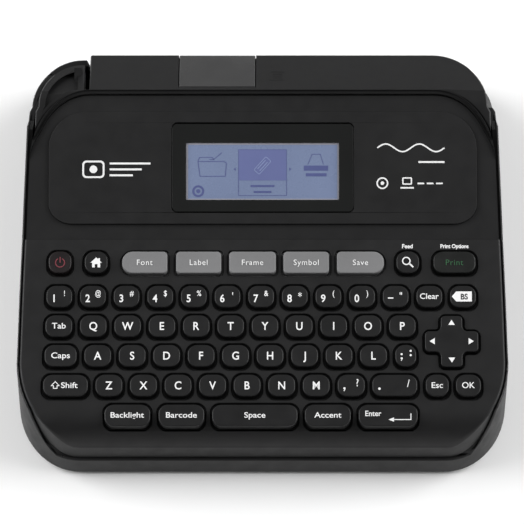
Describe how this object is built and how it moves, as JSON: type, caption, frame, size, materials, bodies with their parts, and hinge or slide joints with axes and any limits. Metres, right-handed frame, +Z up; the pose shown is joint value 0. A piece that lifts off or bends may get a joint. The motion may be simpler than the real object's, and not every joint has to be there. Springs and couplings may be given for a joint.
{
  "type": "label maker",
  "caption": "Desktop label maker: wedge-shaped black case with a keyboard, a backlit display, a hinged rear tape cover, a corner cutter lever and a geared tape feed.",
  "frame": {"origin": "middle of the footprint, on the surface that the feet stand on", "axes": "+X to the user's right, +Y towards the rear tape cover, +Z up"},
  "size_m": [0.189, 0.177, 0.0722],
  "materials": {
    "case_plastic": "fine-grained moulded black",
    "panel_plastic": "fine-grained moulded black",
    "gloss_bezel": "gloss black around a clear window",
    "lcd_backlight": "backlit pale blue panel",
    "smoked_window": "smoked grey window",
    "rubber": "matt black",
    "circuit_board": "green solder mask",
    "steel": "plain",
    "battery_shell": "printed sleeve over steel cells",
    "white_gear": "natural moulded",
    "grey_plastic": "moulded grey",
    "grey_key": "satin grey",
    "power_key_plastic": "satin, very slightly red",
    "print_key_plastic": "satin, very slightly green",
    "black_key": "satin black"
  },
  "bodies": {
    "case": {"base_case": "case_plastic", "keyboard_housing": "panel_plastic", "display_housing": "panel_plastic", "display_fascia": "panel_plastic", "lcd_lens": "gloss_bezel", "lcd_module": "lcd_backlight", "key_mat": "rubber", "main_board": "circuit_board", "chassis": "grey_plastic", "print_head": "steel", "feed_motor": "steel", "tape_cassette": "grey_plastic", "battery_cover": "case_plastic", "batteries": "battery_shell", "dc_inlet": "case_plastic", "usb_port": "steel", "front_foot": "rubber", "rear_foot": "rubber", "case_screw_1": "steel", "case_screw_2": "steel", "case_screw_3": "steel", "case_screw_4": "steel"},
    "tape_cover": {"tape_cover": "case_plastic", "cassette_window": "smoked_window"},
    "cover_latch": {"cover_latch": "case_plastic"},
    "cutter": {"cutter_lever": "case_plastic", "cutter_blade": "steel"},
    "roller_holder": {"roller_holder": "grey_plastic"},
    "platen": {"platen_roller": "rubber", "platen_gear": "white_gear"},
    "idler": {"idler_gear": "white_gear"},
    "pinion": {"motor_pinion": "steel"},
    "spindle": {"ribbon_spindle": "white_gear"},
    "power_key": {"power_key": "power_key_plastic"},
    "home_key": {"home_key": "black_key"},
    "font_key": {"font_key": "grey_key"},
    "label_key": {"label_key": "grey_key"},
    "frame_key": {"frame_key": "grey_key"},
    "symbol_key": {"symbol_key": "grey_key"},
    "save_key": {"save_key": "grey_key"},
    "preview_key": {"preview_key": "black_key"},
    "print_key": {"print_key": "print_key_plastic"},
    "clear_key": {"clear_key": "black_key"},
    "backspace_key": {"backspace_key": "black_key"},
    "tab_key": {"tab_key": "black_key"},
    "caps_key": {"caps_key": "black_key"},
    "shift_key": {"shift_key": "black_key"},
    "escape_key": {"escape_key": "black_key"},
    "ok_key": {"ok_key": "black_key"},
    "backlight_key": {"backlight_key": "black_key"},
    "barcode_key": {"barcode_key": "black_key"},
    "space_key": {"space_key": "black_key"},
    "accent_key": {"accent_key": "black_key"},
    "enter_key": {"enter_key": "black_key"},
    "direction_pad": {"direction_pad": "black_key"},
    "number_keys": {"number_keys": "black_key"},
    "upper_letter_keys": {"upper_letter_keys": "black_key"},
    "middle_letter_keys": {"middle_letter_keys": "black_key"},
    "lower_letter_keys": {"lower_letter_keys": "black_key"}
  },
  "joints": [
    {"name": "cover_hinge", "type": "hinge", "parent": "case", "child": "tape_cover", "pos_m": [0, 0.0866, 0.0132], "axis": [-1, 0, 0], "range_deg": [0, 95]},
    {"name": "latch_press", "type": "slide", "parent": "tape_cover", "child": "cover_latch", "axis": [0, -0.8771, -0.4803], "range_m": [0, 0.002], "stiffness_N_per_m": 800, "springref_m": -0.0005},
    {"name": "cutter_lever_hinge", "type": "hinge", "parent": "case", "child": "cutter", "pos_m": [-0.0715, 0.046, 0.0605], "axis": [0, -1, 0], "range_deg": [0, 8], "stiffness_Nm_per_rad": 0.2, "springref_deg": -5.73},
    {"name": "roller_release", "type": "hinge", "parent": "case", "child": "roller_holder", "pos_m": [-0.0766, 0.07269, 0.02188], "axis": [0, -0.8771, -0.4803], "range_deg": [0, 4], "stiffness_Nm_per_rad": 0.3, "springref_deg": -5.73},
    {"name": "platen_spin", "type": "hinge", "parent": "roller_holder", "child": "platen", "pos_m": [-0.0727, 0.06229, 0.03671], "axis": [0, -0.8771, -0.4803], "continuous": true},
    {"name": "idler_spin", "type": "hinge", "parent": "case", "child": "idler", "pos_m": [-0.06155, 0.05518, 0.03012], "axis": [0, -0.8771, -0.4803], "continuous": true},
    {"name": "pinion_spin", "type": "hinge", "parent": "case", "child": "pinion", "pos_m": [-0.05309, 0.05666, 0.02742], "axis": [0, -0.8771, -0.4803], "continuous": true},
    {"name": "spindle_spin", "type": "hinge", "parent": "case", "child": "spindle", "pos_m": [-0.04253, 0.05559, 0.02939], "axis": [0, -0.8771, -0.4803], "continuous": true},
    {"name": "power_key_press", "type": "slide", "parent": "case", "child": "power_key", "axis": [0, 0.2419, -0.9703], "range_m": [0, 0.001], "stiffness_N_per_m": 400, "springref_m": -0.0005},
    {"name": "home_key_press", "type": "slide", "parent": "case", "child": "home_key", "axis": [0, 0.2419, -0.9703], "range_m": [0, 0.001], "stiffness_N_per_m": 400, "springref_m": -0.0005},
    {"name": "font_key_press", "type": "slide", "parent": "case", "child": "font_key", "axis": [0, 0.2419, -0.9703], "range_m": [0, 0.001], "stiffness_N_per_m": 400, "springref_m": -0.0005},
    {"name": "label_key_press", "type": "slide", "parent": "case", "child": "label_key", "axis": [0, 0.2419, -0.9703], "range_m": [0, 0.001], "stiffness_N_per_m": 400, "springref_m": -0.0005},
    {"name": "frame_key_press", "type": "slide", "parent": "case", "child": "frame_key", "axis": [0, 0.2419, -0.9703], "range_m": [0, 0.001], "stiffness_N_per_m": 400, "springref_m": -0.0005},
    {"name": "symbol_key_press", "type": "slide", "parent": "case", "child": "symbol_key", "axis": [0, 0.2419, -0.9703], "range_m": [0, 0.001], "stiffness_N_per_m": 400, "springref_m": -0.0005},
    {"name": "save_key_press", "type": "slide", "parent": "case", "child": "save_key", "axis": [0, 0.2419, -0.9703], "range_m": [0, 0.001], "stiffness_N_per_m": 400, "springref_m": -0.0005},
    {"name": "preview_key_press", "type": "slide", "parent": "case", "child": "preview_key", "axis": [0, 0.2419, -0.9703], "range_m": [0, 0.001], "stiffness_N_per_m": 400, "springref_m": -0.0005},
    {"name": "print_key_press", "type": "slide", "parent": "case", "child": "print_key", "axis": [0, 0.2419, -0.9703], "range_m": [0, 0.001], "stiffness_N_per_m": 400, "springref_m": -0.0005},
    {"name": "clear_key_press", "type": "slide", "parent": "case", "child": "clear_key", "axis": [0, 0.2419, -0.9703], "range_m": [0, 0.001], "stiffness_N_per_m": 400, "springref_m": -0.0005},
    {"name": "backspace_key_press", "type": "slide", "parent": "case", "child": "backspace_key", "axis": [0, 0.2419, -0.9703], "range_m": [0, 0.001], "stiffness_N_per_m": 400, "springref_m": -0.0005},
    {"name": "tab_key_press", "type": "slide", "parent": "case", "child": "tab_key", "axis": [0, 0.2419, -0.9703], "range_m": [0, 0.001], "stiffness_N_per_m": 400, "springref_m": -0.0005},
    {"name": "caps_key_press", "type": "slide", "parent": "case", "child": "caps_key", "axis": [0, 0.2419, -0.9703], "range_m": [0, 0.001], "stiffness_N_per_m": 400, "springref_m": -0.0005},
    {"name": "shift_key_press", "type": "slide", "parent": "case", "child": "shift_key", "axis": [0, 0.2419, -0.9703], "range_m": [0, 0.001], "stiffness_N_per_m": 400, "springref_m": -0.0005},
    {"name": "escape_key_press", "type": "slide", "parent": "case", "child": "escape_key", "axis": [0, 0.2419, -0.9703], "range_m": [0, 0.001], "stiffness_N_per_m": 400, "springref_m": -0.0005},
    {"name": "ok_key_press", "type": "slide", "parent": "case", "child": "ok_key", "axis": [0, 0.2419, -0.9703], "range_m": [0, 0.001], "stiffness_N_per_m": 400, "springref_m": -0.0005},
    {"name": "backlight_key_press", "type": "slide", "parent": "case", "child": "backlight_key", "axis": [0, 0.2419, -0.9703], "range_m": [0, 0.001], "stiffness_N_per_m": 400, "springref_m": -0.0005},
    {"name": "barcode_key_press", "type": "slide", "parent": "case", "child": "barcode_key", "axis": [0, 0.2419, -0.9703], "range_m": [0, 0.001], "stiffness_N_per_m": 400, "springref_m": -0.0005},
    {"name": "space_key_press", "type": "slide", "parent": "case", "child": "space_key", "axis": [0, 0.2419, -0.9703], "range_m": [0, 0.001], "stiffness_N_per_m": 400, "springref_m": -0.0005},
    {"name": "accent_key_press", "type": "slide", "parent": "case", "child": "accent_key", "axis": [0, 0.2419, -0.9703], "range_m": [0, 0.001], "stiffness_N_per_m": 400, "springref_m": -0.0005},
    {"name": "enter_key_press", "type": "slide", "parent": "case", "child": "enter_key", "axis": [0, 0.2419, -0.9703], "range_m": [0, 0.001], "stiffness_N_per_m": 400, "springref_m": -0.0005},
    {"name": "direction_pad_press", "type": "slide", "parent": "case", "child": "direction_pad", "axis": [0, 0.2419, -0.9703], "range_m": [0, 0.001], "stiffness_N_per_m": 400, "springref_m": -0.0005},
    {"name": "number_keys_press", "type": "slide", "parent": "case", "child": "number_keys", "axis": [0, 0.2419, -0.9703], "range_m": [0, 0.001], "stiffness_N_per_m": 2000, "springref_m": -0.0005},
    {"name": "upper_letter_keys_press", "type": "slide", "parent": "case", "child": "upper_letter_keys", "axis": [0, 0.2419, -0.9703], "range_m": [0, 0.001], "stiffness_N_per_m": 2000, "springref_m": -0.0005},
    {"name": "middle_letter_keys_press", "type": "slide", "parent": "case", "child": "middle_letter_keys", "axis": [0, 0.2419, -0.9703], "range_m": [0, 0.001], "stiffness_N_per_m": 2000, "springref_m": -0.0005},
    {"name": "lower_letter_keys_press", "type": "slide", "parent": "case", "child": "lower_letter_keys", "axis": [0, 0.2419, -0.9703], "range_m": [0, 0.001], "stiffness_N_per_m": 2000, "springref_m": -0.0005}
  ],
  "couplings": [
    {"joint": "idler_spin", "follows": "platen_spin", "ratio": -0.9},
    {"joint": "pinion_spin", "follows": "platen_spin", "ratio": 1.8},
    {"joint": "spindle_spin", "follows": "platen_spin", "ratio": -0.69231}
  ]
}
